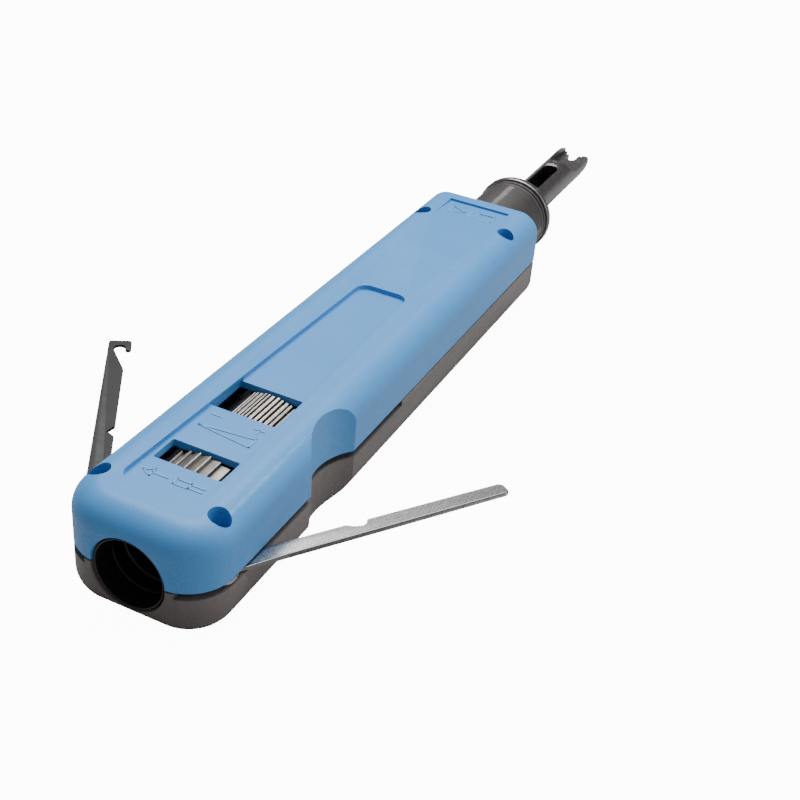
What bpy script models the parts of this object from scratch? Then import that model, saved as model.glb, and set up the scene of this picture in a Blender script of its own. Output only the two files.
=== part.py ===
"""Punch down tool: a two-shell handle around a spring hammer, a blade at the nose, and two
flat tools that fold out of a slot beside the rear screws.

Sizes are in millimetres until add_object() turns them into metres. Y runs from the rear
face of the handle towards the blade, X is to the right of it, Z is up from the underside.
add_object() puts the model's origin on the underside, halfway along the handle.
"""
import math

import bmesh
import bpy
from mathutils import Matrix, Vector

MM = 0.001

# Handle
BODY_LENGTH = 139.5
REAR_WIDTH = 29.5
FRONT_WIDTH = 27.5
BODY_HEIGHT = 21.4
AXIS_Z = 10.0            # the mechanism's axis, and the split between the shells
SEAM_GAP = 0.3
WALL = 2.0
REAR_WALL = 2.2
FLOOR_Z = 1.6
CEILING_Z = 19.0
CAVITY_FRONT = 124.0
CAVITY_ROUND = 1.2
REAR_CORNER = 8.5
EDGE_ROUND = 5.0
FRONT_ROUND = 0.8

# Openings in the handle
PANEL_DEPTH = 1.0
PANEL = ((8.9, 7.9), (88.0, 5.3))            # (y, half width) of the sunk panel's ends
LABEL_DEPTH = 0.5
LABEL = (7.3, 125.7, 136.0)                  # half width, low y, high y
DIAL_WINDOW = (-7.1, 5.9, 35.2, 44.6)
RELEASE_WINDOW = (-6.8, 6.4, 17.2, 23.1)
STORAGE_BORE = 7.0
BARREL_BORE = 7.45
NOSE_BORE = 9.15
NOSE_BORE_REAR = 128.9
RIB_REAR, RIB_FRONT = 111.5, 116.0
SCOOP_Y = 41.35
SCOOP_RADIUS = 12.0
SCOOP_DEPTH = 3.1
SCOOP_WALL = 1.5
SLOT_FLOOR = 8.8
SLOT_INNER = 8.5
SLOT_FRONT = 69.3

# Screws
REAR_SCREW = (11.5, 9.0)
FRONT_SCREW = (10.3, 126.9)
BOSS_RADIUS = 3.0
COUNTERBORE = 1.9
SCREW_SEAT = 14.0
CLEARANCE_HOLE = 1.0
PILOT_HOLE = 0.95
PILOT_FLOOR = 3.0
POST_RADIUS = 1.9
POST_TOP = 10.0
GUIDE_PIN_Y = 113.5

# Mechanism
TUBE_FRONT = 43.6
RING_BORE = 6.6          # bore of the wheel and the dial around the storage tube
HUB_RADIUS = 8.0
RIB_RADIUS = 10.2
SEAT_REAR = 46.3
RAMP_RISE = 0.05         # how far the dial's ramp climbs, per degree
HAMMER_REAR, HAMMER_FRONT = 74.2, 98.2
HAMMER_RADIUS = 7.2
LATCH_Y = 94.6
LATCH_SLOPE = 1.0 / 6.0
BARREL_REAR, COLLAR_REAR = 106.0, 138.2
COLLAR_RADIUS = 8.9
RING_REAR, NOSE_TIP = 158.9, 161.2
BLADE_RADIUS = 4.45
BLADE_TIP = 203.5

# Folding tools
TOOL_BOTTOM, TOOL_TOP = 9.1, 9.8
TOOL_EYE = 3.1
TOOL_HOLE = 2.1
HOOK_ANGLE = 32.0
SPUDGER_ANGLE = 35.0
HOOK_LENGTH = 58.6
SPUDGER_LENGTH = 55.1


# Helpers

def make_material(name, color, roughness, metallic=0.0):
    """A Principled material of one finish."""
    mat = bpy.data.materials.new(name)
    mat.use_nodes = True
    shader = mat.node_tree.nodes["Principled BSDF"]
    shader.inputs["Base Color"].default_value = (*color, 1.0)
    shader.inputs["Roughness"].default_value = roughness
    shader.inputs["Metallic"].default_value = metallic
    return mat


def add_object(name, bm, mat=None, pivot=(0.0, 0.0, 0.0), turn=0.0):
    """Make the object in metres, with its origin on its pivot."""
    bmesh.ops.translate(bm, verts=bm.verts, vec=-Vector(pivot))
    bmesh.ops.scale(bm, verts=bm.verts, vec=(MM, MM, MM))
    bmesh.ops.recalc_face_normals(bm, faces=bm.faces)
    mesh = bpy.data.meshes.new(name)
    bm.to_mesh(mesh)
    bm.free()
    mesh.shade_smooth()
    mesh.set_sharp_from_angle(angle=math.radians(35.0))
    if mat:
        mesh.materials.append(mat)
    obj = bpy.data.objects.new(name, mesh)
    obj.location = (Vector(pivot) - Vector((0.0, BODY_LENGTH / 2.0, 0.0))) * MM
    obj.rotation_euler.z = math.radians(turn)
    bpy.context.scene.collection.objects.link(obj)
    return obj


def boolean(target, name, operation, bm, pivot=(0.0, 0.0, 0.0)):
    """Cut or join a shape, which stays in the scene as a hidden wire object."""
    tool = add_object(name, bm, pivot=pivot)
    use_tool(target, tool, operation)
    return tool


def use_tool(target, tool, operation="DIFFERENCE"):
    """Apply an existing shape to another object."""
    tool.hide_render = True
    tool.display_type = "WIRE"
    modifier = target.modifiers.new(tool.name, "BOOLEAN")
    modifier.operation = operation
    modifier.solver = "EXACT"
    modifier.object = tool


def combined(*shapes):
    """One bmesh that holds several separate shapes."""
    bm = bmesh.new()
    for shape in shapes:
        mesh = bpy.data.meshes.new("part_of_shape")
        shape.to_mesh(mesh)
        shape.free()
        bm.from_mesh(mesh)
        bpy.data.meshes.remove(mesh)
    return bm


def close_ends(bm):
    """Cap every open loop and point all faces outwards."""
    open_edges = [edge for edge in bm.edges if edge.is_boundary]
    if open_edges:
        bmesh.ops.holes_fill(bm, edges=open_edges, sides=0)
    bmesh.ops.recalc_face_normals(bm, faces=bm.faces)
    return bm


def prism(outline, low, high, axis="Z"):
    """Extrude an outline: (x, y) points along Z, (x, z) along Y, or (y, z) along X."""
    place = {
        "Z": lambda u, v, w: (u, v, w),
        "Y": lambda u, v, w: (u, w, v),
        "X": lambda u, v, w: (w, u, v),
    }[axis]
    bm = bmesh.new()
    face = bm.faces.new([bm.verts.new(place(u, v, low)) for u, v in outline])
    grown = bmesh.ops.extrude_face_region(bm, geom=[face])
    moved = [item for item in grown["geom"] if isinstance(item, bmesh.types.BMVert)]
    bmesh.ops.translate(bm, verts=moved, vec=place(0.0, 0.0, high - low))
    return close_ends(bm)


def box(x_low, x_high, y_low, y_high, z_low, z_high):
    """A plain block."""
    outline = [(x_low, y_low), (x_high, y_low), (x_high, y_high), (x_low, y_high)]
    return prism(outline, z_low, z_high)


def lathe(profile, steps=24, centre=(0.0, 0.0, AXIS_Z), axis="Y", ring=False):
    """Turn (along, radius) points about a line through centre, as a solid or as a ring."""
    bm = bmesh.new()
    verts = [bm.verts.new((radius, along, 0.0)) for along, radius in profile]
    edges = [bm.edges.new(pair) for pair in zip(verts, verts[1:])]
    if ring:
        edges.append(bm.edges.new((verts[-1], verts[0])))
    bmesh.ops.spin(bm, geom=verts + edges, cent=(0.0, 0.0, 0.0), axis=(0.0, 1.0, 0.0),
                   angle=math.tau, steps=steps, use_merge=True)
    bmesh.ops.remove_doubles(bm, verts=bm.verts, dist=1e-4)
    return placed(close_ends(bm), centre, axis)


def coil(radius, wire, length, turns, centre=(0.0, 0.0, AXIS_Z), axis="Y", steps=16, sides=5):
    """A helical spring that starts at centre and runs along its axis."""
    bm = bmesh.new()
    start = Matrix.Translation((radius, wire, 0.0))
    ring = bmesh.ops.create_circle(bm, segments=sides, radius=wire, matrix=start)["verts"]
    edges = list(bm.edges)
    count = int(turns * steps)
    rise = (length - 2.0 * wire) / count
    bmesh.ops.spin(bm, geom=ring + edges, cent=(0.0, 0.0, 0.0), axis=(0.0, 1.0, 0.0),
                   dvec=(0.0, rise, 0.0), angle=math.tau * turns, steps=count)
    return placed(close_ends(bm), centre, axis)


def placed(bm, centre, axis):
    """Turn a shape made along Y to lie along axis, and move it to centre."""
    turns = {
        "Y": Matrix.Identity(4),
        "Z": Matrix.Rotation(math.pi / 2.0, 4, "X"),
        "X": Matrix.Rotation(-math.pi / 2.0, 4, "Z"),
    }
    bmesh.ops.transform(bm, verts=bm.verts, matrix=Matrix.Translation(centre) @ turns[axis])
    return bm


def cylinder(radius, low, high, spot, steps=24, axis="Z"):
    """A cylinder along Z at (x, y), or along X at (y, z)."""
    centre = (spot[0], spot[1], 0.0) if axis == "Z" else (0.0, spot[0], spot[1])
    profile = [(low, 0.0), (low, radius), (high, radius), (high, 0.0)]
    return lathe(profile, steps, centre, axis)


def arc(centre, radius, start, end, steps):
    """Points on an arc, with angles in degrees."""
    points = []
    for step in range(steps + 1):
        angle = math.radians(start + (end - start) * step / steps)
        points.append((centre[0] + radius * math.cos(angle), centre[1] + radius * math.sin(angle)))
    return points


def rounded(corners, radius, steps=3):
    """Round every corner of a convex outline that runs anticlockwise."""
    points = []
    for index, corner in enumerate(corners):
        here = Vector(corner)
        back = (Vector(corners[index - 1]) - here).normalized()
        ahead = (Vector(corners[(index + 1) % len(corners)]) - here).normalized()
        half = back.angle(ahead) / 2.0
        centre = here + (back + ahead).normalized() * radius / math.sin(half)
        reach = radius / math.tan(half)
        first = here + back * reach - centre
        last = here + ahead * reach - centre
        sweep = first.angle_signed(last)
        for step in range(steps + 1):
            turn = Matrix.Rotation(-sweep * step / steps, 2)
            points.append(tuple(centre + turn @ first))
    return points


def mirrored_pair(spot):
    """The same place on the right and on the left."""
    return [(spot[0], spot[1]), (-spot[0], spot[1])]


SCREW_SPOTS = mirrored_pair(REAR_SCREW) + mirrored_pair(FRONT_SCREW)


# Handle shells

def half_width(y):
    """Half of the handle's width, which narrows towards the nose."""
    return (REAR_WIDTH + (FRONT_WIDTH - REAR_WIDTH) * y / BODY_LENGTH) / 2.0


def edges_where(bm, test):
    """Edges whose two ends both pass a test."""
    return [edge for edge in bm.edges if all(test(vert.co) for vert in edge.verts)]


def round_edges(bm, edges, radius, steps):
    """Bevel some edges to a radius."""
    bmesh.ops.bevel(bm, geom=edges, offset=radius, offset_type="OFFSET", segments=steps,
                    profile=0.5, affect="EDGES", clamp_overlap=True, material=-1)


def half_handle(split, face, inset, rear, front, corner, edge, steps):
    """One half of the handle's form, flat at split and rounded around face."""
    wide, narrow = half_width(rear) - inset, half_width(front) - inset
    outline = [(-wide, rear), (wide, rear), (narrow, front), (-narrow, front)]
    bm = prism(outline, min(split, face), max(split, face))
    uprights = [edge_ for edge_ in edges_where(bm, lambda co: abs(co.y - rear) < 0.01)
                if abs(edge_.verts[0].co.z - edge_.verts[1].co.z) > 1.0]
    round_edges(bm, uprights, corner, steps)
    rim = [edge_ for edge_ in edges_where(bm, lambda co: abs(co.z - face) < 0.01)
           if not all(abs(vert.co.y - front) < 0.01 for vert in edge_.verts)]
    round_edges(bm, rim, edge, steps)
    return bm


def outer_half(split, face):
    """The outside of one shell, with the edge of its front face eased."""
    bm = half_handle(split, face, 0.0, 0.0, BODY_LENGTH, REAR_CORNER, EDGE_ROUND, 6)
    front = [edge for edge in edges_where(bm, lambda co: abs(co.y - BODY_LENGTH) < 0.01)
             if not all(abs(vert.co.z - split) < 0.01 for vert in edge.verts)]
    round_edges(bm, front, FRONT_ROUND, 2)
    return bm


def guide_block(low, high):
    """The rib across a shell that carries the barrel."""
    return box(-16.0, 16.0, RIB_REAR, RIB_FRONT, low, high)


def add_cavity(shell, name, split, face, standing):
    """Hollow a shell out around the shapes that stay standing in it."""
    bm = half_handle(split, face, WALL, REAR_WALL, CAVITY_FRONT, REAR_CORNER - WALL, CAVITY_ROUND, 3)
    cavity = boolean(shell, name, "DIFFERENCE", bm)
    for index, shape in enumerate(standing):
        boolean(cavity, f"{name}_keep_{index}", "DIFFERENCE", shape)


def bore_shapes():
    """Rear bore, barrel bore and nose bore, all on the axis."""
    rear = lathe([(-1.0, 0.0), (-1.0, STORAGE_BORE), (3.0, STORAGE_BORE), (3.0, 0.0)], 40)
    nose = lathe([(RIB_REAR - 1.0, 0.0), (RIB_REAR - 1.0, BARREL_BORE),
                  (NOSE_BORE_REAR, BARREL_BORE), (NOSE_BORE_REAR, NOSE_BORE),
                  (BODY_LENGTH + 1.0, NOSE_BORE), (BODY_LENGTH + 1.0, 0.0)], 40)
    return combined(rear, nose)


def scoop_shape(radius, low, high, steps):
    """Upright cylinder that hollows the right side for a finger."""
    spot = (half_width(SCOOP_Y) + SCOOP_RADIUS - SCOOP_DEPTH, SCOOP_Y)
    return cylinder(radius, low, high, spot, steps)


def slot_shapes():
    """The slots that the folding tools swing through, under the seam."""
    right = box(SLOT_INNER, 18.0, -2.0, SLOT_FRONT, SLOT_FLOOR, AXIS_Z + 1.0)
    left = box(-18.0, -SLOT_INNER, -2.0, SLOT_FRONT, SLOT_FLOOR, AXIS_Z + 1.0)
    return combined(right, left)


def sunk_shapes():
    """The sunk panel around the windows and the sloping one at the nose."""
    (rear, wide), (front, narrow) = PANEL
    panel = rounded([(-wide, rear), (wide, rear), (narrow, front), (-narrow, front)], 2.4)
    half, low, high = LABEL
    top = BODY_HEIGHT + 1.0
    label = [(high, top), (high, BODY_HEIGHT - LABEL_DEPTH), (low, BODY_HEIGHT + 0.02), (low, top)]
    return combined(prism(panel, BODY_HEIGHT - PANEL_DEPTH, top), prism(label, -half, half, "X"))


def top_hole_shapes():
    """Two windows and four stepped screw holes."""
    top = BODY_HEIGHT + 1.0
    shapes = [box(*DIAL_WINDOW, CEILING_Z - 3.0, top), box(*RELEASE_WINDOW, CEILING_Z - 3.0, top)]
    profile = [(AXIS_Z - 1.0, 0.0), (AXIS_Z - 1.0, CLEARANCE_HOLE), (SCREW_SEAT, CLEARANCE_HOLE),
               (SCREW_SEAT, COUNTERBORE), (top, COUNTERBORE), (top, 0.0)]
    for x, y in SCREW_SPOTS:
        shapes.append(lathe(profile, 20, (x, y, 0.0), "Z"))
    return combined(*shapes)


def bottom_hole_shapes():
    """Pilot holes for the screws and the hole of the barrel's guide pin."""
    shapes = [cylinder(PILOT_HOLE, PILOT_FLOOR, POST_TOP + 1.0, spot, 16) for spot in SCREW_SPOTS]
    shapes.append(cylinder(1.0, FLOOR_Z + 0.1, 6.0, (0.0, GUIDE_PIN_Y), 16))
    return combined(*shapes)


def build_upper_shell(mat):
    """Top half of the handle."""
    shell = add_object("upper_shell", outer_half(AXIS_Z + SEAM_GAP / 2.0, BODY_HEIGHT), mat)
    bosses = [cylinder(BOSS_RADIUS, AXIS_Z - 2.0, BODY_HEIGHT, spot)
              for spot in mirrored_pair(REAR_SCREW)]
    standing = [combined(*bosses, guide_block(AXIS_Z - 2.0, BODY_HEIGHT)),
                scoop_shape(SCOOP_RADIUS + SCOOP_WALL, AXIS_Z - 2.0, BODY_HEIGHT, 48)]
    add_cavity(shell, "upper_cavity", AXIS_Z - 1.0, CEILING_Z, standing)
    bores = boolean(shell, "bores", "DIFFERENCE", bore_shapes())
    scoop = boolean(shell, "scoop", "DIFFERENCE",
                    scoop_shape(SCOOP_RADIUS, -1.0, BODY_HEIGHT + 1.0, 48))
    boolean(shell, "sunk_panels", "DIFFERENCE", sunk_shapes())
    boolean(shell, "top_holes", "DIFFERENCE", top_hole_shapes())
    return bores, scoop


def build_lower_shell(mat, bores, scoop):
    """Bottom half of the handle, with the posts that the folding tools turn on."""
    shell = add_object("lower_shell", outer_half(AXIS_Z - SEAM_GAP / 2.0, 0.0), mat)
    bosses = [cylinder(BOSS_RADIUS, 0.5, AXIS_Z + 2.0, spot) for spot in mirrored_pair(REAR_SCREW)]
    key_ribs = [box(1.8, 2.8, 44.5, 51.0, 0.5, 2.5), box(-2.8, -1.8, 44.5, 51.0, 0.5, 2.5)]
    standing = [combined(*bosses, *key_ribs, guide_block(0.5, AXIS_Z + 2.0)),
                scoop_shape(SCOOP_RADIUS + SCOOP_WALL, 0.5, AXIS_Z + 2.0, 48)]
    add_cavity(shell, "lower_cavity", AXIS_Z + 1.0, FLOOR_Z, standing)
    use_tool(shell, bores)
    use_tool(shell, scoop)
    boolean(shell, "tool_slots", "DIFFERENCE", slot_shapes())
    posts = [cylinder(POST_RADIUS, AXIS_Z - 3.0, POST_TOP, spot) for spot in mirrored_pair(REAR_SCREW)]
    boolean(shell, "tool_posts", "UNION", combined(*posts))
    boolean(shell, "bottom_holes", "DIFFERENCE", bottom_hole_shapes())


def build_screws(mat):
    """Four case screws, with their heads deep in the counterbores."""
    names = ("rear_right", "rear_left", "front_right", "front_left")
    profile = [(3.6, 0.0), (4.2, 0.8), (14.2, 0.8), (14.2, 1.4), (15.7, 1.4), (16.1, 1.1),
               (16.1, 0.6), (15.2, 0.0)]
    for name, (x, y) in zip(names, SCREW_SPOTS):
        add_object(f"case_screw_{name}", lathe(profile, 16, (x, y, 0.0), "Z"), mat)


# Blade store and release wheel

def build_storage_tube(mat):
    """Stepped tube behind the rear opening that keeps a spare blade."""
    profile = [(42.0, 0.0), (42.0, 5.2), (11.0, 5.2), (10.6, 5.7), (7.8, 5.7), (7.4, 6.2),
               (5.0, 6.2), (4.6, 6.4), (0.4, 6.4), (0.4, 6.7), (2.9, 6.7), (2.9, 8.0), (15.2, 8.0),
               (15.2, 6.3), (TUBE_FRONT, 6.3), (TUBE_FRONT, 0.0)]
    tube = add_object("storage_tube", lathe(profile, 32), mat)
    boolean(tube, "catch_hole", "DIFFERENCE", cylinder(1.05, 2.0, 7.0, (0.0, 19.0), 16))


def build_storage_catch(mat):
    """Pin that reaches through the tube and holds a stored blade."""
    profile = [(3.55, 0.0), (3.55, 0.6), (3.8, 0.9), (4.8, 0.9), (5.15, 0.5), (5.15, 0.0)]
    add_object("storage_catch", lathe(profile, 14, (0.0, 19.0, 0.0), "Z"), mat)


def toothed_outline(first, last, teeth, tooth):
    """A round hub with a raised, toothed sector; angles are clockwise from the top."""
    outline = []
    pitch = (last - first) / teeth
    for index in range(teeth):
        for share, radius in tooth:
            angle = math.radians(90.0 - first - (index + share) * pitch)
            outline.append((radius * math.cos(angle), AXIS_Z + radius * math.sin(angle)))
    outline += arc((0.0, AXIS_Z), HUB_RADIUS, 90.0 - last, 90.0 - first - 360.0, 22)
    return outline


def build_release_wheel(mat):
    """Thumb wheel in the rear window, with saw teeth and an arm on its return spring."""
    saw = ((0.0, 9.5), (0.92, RIB_RADIUS), (0.98, RIB_RADIUS))
    bm = prism(toothed_outline(-38.0, 63.0, 9, saw), 17.5, 22.5, "Y")
    wheel = add_object("release_wheel", bm, mat, pivot=(0.0, 19.0, AXIS_Z))
    pivot = (0.0, 19.0, AXIS_Z)
    boolean(wheel, "wheel_arm", "UNION", box(-10.9, -7.2, 17.6, 20.4, 8.2, 9.4), pivot)
    hole = lathe([(15.0, 0.0), (15.0, RING_BORE), (24.0, RING_BORE), (24.0, 0.0)], 32)
    boolean(wheel, "wheel_bore", "DIFFERENCE", hole, pivot)
    pocket = arc((0.0, AXIS_Z), 7.25, 226.0, 266.0, 6) + [(0.0, AXIS_Z)]
    boolean(wheel, "wheel_pocket", "DIFFERENCE", prism(pocket, 17.8, 20.2, "Y"), pivot)


def build_release_spring(mat):
    """Upright spring under the wheel's arm."""
    bm = coil(1.2, 0.2, 5.5, 4, (-9.9, 19.0, 2.4), "Z", 12)
    add_object("release_spring", bm, mat)


# Impact dial and main spring

def ramp(start, sweep):
    """A helical wedge on the dial's front face, which climbs against the right-hand turn."""
    bm = bmesh.new()
    corners = [(6.9, 38.4), (7.8, 38.4), (7.8, 42.9), (6.9, 42.9)]
    verts = [bm.verts.new((radius, along, 0.0)) for radius, along in corners]
    edges = [bm.edges.new((verts[index - 1], verts[index])) for index in range(4)]
    steps = 10
    bmesh.ops.rotate(bm, verts=bm.verts, cent=(0.0, 0.0, 0.0),
                     matrix=Matrix.Rotation(math.radians(start), 3, "Y"))
    bmesh.ops.spin(bm, geom=verts + edges, cent=(0.0, 0.0, 0.0), axis=(0.0, 1.0, 0.0),
                   dvec=(0.0, RAMP_RISE * sweep / steps, 0.0), angle=-math.radians(sweep), steps=steps)
    return placed(close_ends(bm), (0.0, 0.0, AXIS_Z), "Y")


def build_impact_dial(mat):
    """Ring in the front window whose ramps set the main spring's preload."""
    pivot = (0.0, 38.4, AXIS_Z)
    rib = ((0.0, 9.4), (0.12, RIB_RADIUS), (0.6, RIB_RADIUS), (0.72, 9.4))
    bm = prism(toothed_outline(-22.0, 54.0, 16, rib), 35.5, 44.0, "Y")
    dial = add_object("impact_dial", bm, mat, pivot=pivot)
    boolean(dial, "dial_ramps", "UNION", combined(ramp(70.0, 70.0), ramp(250.0, 70.0)), pivot)
    hole = lathe([(33.0, 0.0), (33.0, RING_BORE), (50.0, RING_BORE), (50.0, 0.0)], 32)
    boolean(dial, "dial_bore", "DIFFERENCE", hole, pivot)


def build_dial_detent(mat):
    """Bent leaf under the dial that keeps it where it is set."""
    outer = arc((0.0, AXIS_Z), 8.65, -70.0, -15.0, 8)
    inner = arc((0.0, AXIS_Z), 8.3, -15.0, -38.0, 3) + arc((0.0, AXIS_Z), 8.1, -41.0, -45.0, 1)
    inner += arc((0.0, AXIS_Z), 8.3, -48.0, -70.0, 3)
    add_object("dial_detent", prism(outer + inner, 36.0, 41.0, "Y"), mat)


def build_spring_seat(mat):
    """Keyed disc between the dial's ramps and the main spring."""
    profile = [(48.7, 0.0), (48.7, 7.6), (50.2, 7.6), (50.2, 4.4), (52.8, 4.4), (52.8, 0.0)]
    seat = add_object("spring_seat", lathe(profile), mat)
    key = box(-1.4, 1.4, 48.7, 50.2, 1.9, 4.0)
    lugs = [sector_block(6.9, 7.7, angle - 5.0, angle + 5.0, SEAT_REAR, 49.2) for angle in (10.0, 190.0)]
    boolean(seat, "seat_key", "UNION", key)
    boolean(seat, "seat_lugs", "UNION", combined(*lugs))


def sector_block(inner, outer, start, end, low, high):
    """A short curved block around the axis; angles run from +X towards -Z."""
    outline = arc((0.0, AXIS_Z), outer, -start, -end, 3) + arc((0.0, AXIS_Z), inner, -end, -start, 3)
    return prism(outline, low, high, "Y")


def build_main_spring(mat):
    """Heavy spring that drives the hammer, with the washer it bears on."""
    washer = lathe([(50.5, 4.7), (50.5, 7.4), (51.2, 7.4), (51.2, 4.7)], ring=True)
    add_object("thrust_washer", washer, mat)
    bm = coil(5.9, 0.85, 22.4, 7, (0.0, 51.5, AXIS_Z), steps=18, sides=6)
    add_object("main_spring", bm, mat)


# Hammer and latch

def build_hammer(mat):
    """Steel hammer with a bore for the striker and a cross slot for the latch."""
    profile = [(HAMMER_REAR, 0.0), (HAMMER_REAR, 6.9), (74.8, HAMMER_RADIUS), (97.6, HAMMER_RADIUS),
               (HAMMER_FRONT, 6.6), (HAMMER_FRONT, 2.4), (85.0, 2.4), (85.0, 0.0)]
    hammer = add_object("hammer", lathe(profile, 32), mat)
    boolean(hammer, "ramp_groove", "DIFFERENCE", box(-2.2, 2.2, 72.0, 99.0, 0.0, 5.2))
    boolean(hammer, "latch_slot", "DIFFERENCE", box(-2.9, 2.9, 93.0, 96.2, 0.0, 16.5))


def build_latch(mat, spring_mat):
    """Sliding latch whose hole lines up with the striker as the hammer goes back."""
    outline = rounded([(-2.6, 3.1), (2.6, 3.1), (2.6, 13.6), (-2.6, 13.6)], 0.4, 2)
    latch = add_object("hammer_latch", prism(outline, 93.3, 95.9, "Y"), mat)
    hole = lathe([(92.0, 0.0), (92.0, 2.3), (97.0, 2.3), (97.0, 0.0)], 20, (0.0, 0.0, AXIS_Z - 1.5))
    boolean(latch, "latch_hole", "DIFFERENCE", hole)
    bm = coil(0.95, 0.15, 2.6, 3, (0.0, LATCH_Y, 13.75), "Z", 12, 4)
    add_object("latch_spring", bm, spring_mat)


def build_latch_ramp(mat):
    """Fixed wedge that lifts the latch on the way back."""
    front, rear = 93.4, 80.4
    low = 3.0
    high = low + (front - 84.4) * LATCH_SLOPE
    outline = [(rear, 1.9), (front, 1.9), (front, low), (84.4, high), (rear, high)]
    add_object("latch_ramp", prism(outline, -1.8, 1.8, "X"), mat)


# Plunger at the nose

def build_nose_barrel(mat):
    """Sliding barrel and collar that carry the blade."""
    profile = [(143.0, 0.0), (143.0, 4.75), (146.0, 4.75), (146.0, 5.7), (149.0, 5.7),
               (149.0, 4.75), (158.6, 4.75), (158.6, COLLAR_RADIUS), (157.9, COLLAR_RADIUS),
               (157.8, 8.5), (157.4, 8.5), (157.3, COLLAR_RADIUS), (COLLAR_REAR + 0.4, COLLAR_RADIUS),
               (COLLAR_REAR, 8.5), (COLLAR_REAR, 7.2), (111.3, 7.2), (111.3, 6.5), (110.1, 6.5),
               (110.1, 7.2), (106.4, 7.2), (BARREL_REAR, 6.8), (BARREL_REAR, 2.15), (114.2, 2.15),
               (114.2, 0.0)]
    barrel = add_object("nose_barrel", lathe(profile, 40), mat)
    boolean(barrel, "guide_keyway", "DIFFERENCE", box(-1.15, 1.15, 112.2, 125.0, 0.0, 4.9))
    boolean(barrel, "detent_hole", "DIFFERENCE", cylinder(1.0, 13.0, 17.9, (0.0, 152.5), 14))


def build_barrel_parts(steel, spring_mat):
    """Striker, clip and pin at the barrel's rear, and the spring behind it."""
    striker = [(96.2, 0.0), (96.2, 1.7), (96.6, 2.0), (113.9, 2.0), (113.9, 0.0)]
    add_object("striker_pin", lathe(striker, 20), steel)
    add_object("return_spring", coil(4.0, 0.4, 7.2, 4, (0.0, 98.5, AXIS_Z), steps=14), spring_mat)
    outline = arc((0.0, AXIS_Z), 8.1, -60.0, 240.0, 24) + arc((0.0, AXIS_Z), 6.7, 240.0, -60.0, 24)
    add_object("retaining_clip", prism(outline, 110.3, 111.1, "Y"), steel)
    pin = cylinder(0.9, FLOOR_Z + 0.3, 4.6, (0.0, GUIDE_PIN_Y), 14)
    add_object("guide_pin", pin, steel)


def build_nose_ring(mat):
    """Flanged end ring of the collar."""
    profile = [(RING_REAR, 4.8), (RING_REAR, 9.2), (159.2, 9.4), (160.6, 9.4), (NOSE_TIP, 8.8),
               (NOSE_TIP, 5.2), (160.8, 4.8)]
    add_object("nose_ring", lathe(profile, 40, ring=True), mat)


def build_blade_detent(steel, spring_mat):
    """Sprung ball pin that holds the blade once it is turned home."""
    profile = [(14.55, 0.0), (14.75, 0.5), (15.2, 0.8), (16.0, 0.8), (16.0, 0.0)]
    add_object("blade_detent", lathe(profile, 14, (0.0, 152.5, 0.0), "Z"), steel)
    bm = coil(0.6, 0.12, 1.5, 3, (0.0, 152.5, 16.15), "Z", 10, 4)
    add_object("detent_spring", bm, spring_mat)


def build_punch_blade(mat):
    """Blade with a window, an open channel, one raised wing and a forked tip."""
    pivot = (0.0, 150.0, AXIS_Z)
    profile = [(143.6, 0.0), (143.6, 3.9), (144.1, 4.4), (199.0, BLADE_RADIUS), (202.6, 4.2),
               (BLADE_TIP, 3.6), (BLADE_TIP, 0.0)]
    blade = add_object("punch_blade", lathe(profile, 36), mat, pivot=pivot)
    lugs = prism(rounded([(-5.3, 9.0), (5.3, 9.0), (5.3, 11.0), (-5.3, 11.0)], 0.4, 1),
                 146.5, 148.5, "Y")
    boolean(blade, "bayonet_lugs", "UNION", lugs, pivot)
    window = rounded([(-1.7, 170.0), (2.2, 170.0), (2.2, 184.6), (-1.7, 184.6)], 1.9, 5)
    boolean(blade, "blade_window", "DIFFERENCE", prism(window, 7.6, 16.0), pivot)
    channel = [(186.6, 16.0), (188.0, 13.4), (190.2, 11.7), (193.0, 10.9), (205.0, 10.7), (205.0, 16.0)]
    boolean(blade, "blade_channel", "DIFFERENCE", prism(channel, -2.6, 6.0, "X"), pivot)
    wing = [(189.0, 16.0), (191.0, 13.9), (198.0, 13.0), (205.0, 11.6), (205.0, 16.0)]
    boolean(blade, "wing_slope", "DIFFERENCE", prism(wing, -6.0, -2.0, "X"), pivot)
    fork = [(1.25, 205.0), (-1.15, 205.0)] + arc((0.05, 199.6), 1.2, 180.0, 360.0, 8)
    boolean(blade, "blade_fork", "DIFFERENCE", prism(fork, 4.0, 16.0), pivot)
    underside = [(196.5, 4.0), (205.0, 4.0), (205.0, 8.2)]
    boolean(blade, "tip_bevel", "DIFFERENCE", prism(underside, -6.0, 6.0, "X"), pivot)
    notches = combined(box(-2.3, -1.0, 201.9, 205.0, 3.0, 16.0), box(1.0, 2.2, 202.4, 205.0, 3.0, 16.0))
    boolean(blade, "tip_notches", "DIFFERENCE", notches, pivot)


# Folding tools

def build_flat_tool(name, outline, side, angle, mat):
    """A flat tool on its post, drawn folded forward and then swung out by angle."""
    pivot = (side * REAR_SCREW[0], REAR_SCREW[1], 0.0)
    points = [(pivot[0] - side * inward, pivot[1] + ahead) for inward, ahead in outline]
    tool = add_object(name, prism(points, TOOL_BOTTOM, TOOL_TOP), mat, pivot, -side * angle)
    hole = add_object(f"{name}_eye", cylinder(TOOL_HOLE, 9.0, 13.0, pivot[:2], 20), pivot=pivot)
    use_tool(tool, hole)
    bevel = tool.modifiers.new("eased_edges", "BEVEL")
    bevel.width = 0.12 * MM
    bevel.segments = 1
    bevel.angle_limit = math.radians(50.0)


def eye_outline(inner, outer):
    """The round end of a flat tool, from its inner edge round to its outer edge."""
    start = math.degrees(math.acos(inner / TOOL_EYE))
    end = math.degrees(math.acos(outer / TOOL_EYE))
    return arc((0.0, 0.0), TOOL_EYE, start, -180.0 - end, 16)


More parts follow.
